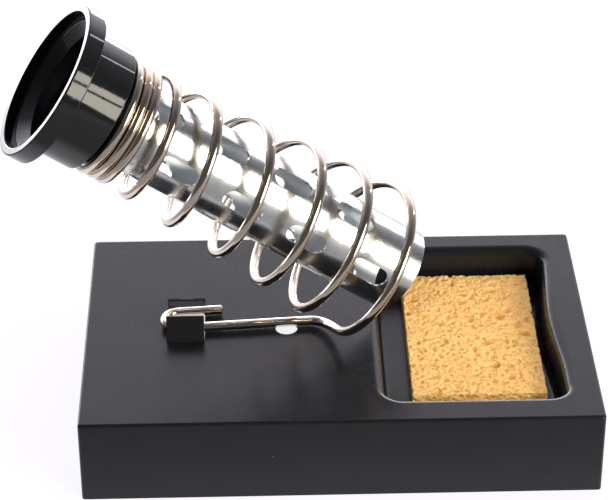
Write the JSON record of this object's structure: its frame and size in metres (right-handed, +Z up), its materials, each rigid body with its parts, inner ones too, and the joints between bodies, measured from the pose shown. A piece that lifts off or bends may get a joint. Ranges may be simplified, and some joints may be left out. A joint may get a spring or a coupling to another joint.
{
  "type": "soldering iron stand",
  "caption": "Soldering iron stand: black pressed steel base with a sponge well, and a conical wire spring that holds a perforated guide tube with a flared bakelite mouth.",
  "frame": {"origin": "centre of the whole stand's box, on the plane that the base rests on", "axes": "+X along the base towards the sponge well, +Y to the back, +Z up; the holder rises towards -X"},
  "size_m": [0.1814, 0.104, 0.1427],
  "materials": {
    "black_paint": "semi-gloss black stoving enamel on pressed sheet steel, with faint orange peel",
    "cellulose_sponge": "orange-yellow cellulose sponge, open pores of mixed size, dull",
    "nickel_wire": "bright nickel-plated spring wire, with faint drawing lines",
    "zinc_tube": "bright zinc-plated thin steel tube, slightly mottled",
    "bakelite": "polished black thermoset, turned and moulded, high gloss"
  },
  "bodies": {
    "base": {"base_shell": "black_paint"},
    "holder": {"spring_holder": "nickel_wire"},
    "guide": {"guide_tube": "zinc_tube", "bush": "bakelite"},
    "sponge": {"sponge": "cellulose_sponge"}
  },
  "joints": [
    {"name": "holder_slide", "type": "slide", "parent": "base", "child": "holder", "axis": [0.9973, 0.0732, 0], "range_m": [0, 0.016]},
    {"name": "guide_pull", "type": "slide", "parent": "holder", "child": "guide", "axis": [-0.8088, -0.0873, 0.5816], "range_m": [0, 0.115]},
    {"name": "sponge_lift", "type": "slide", "parent": "base", "child": "sponge", "axis": [0, 0, 1], "range_m": [0, 0.014]}
  ]
}
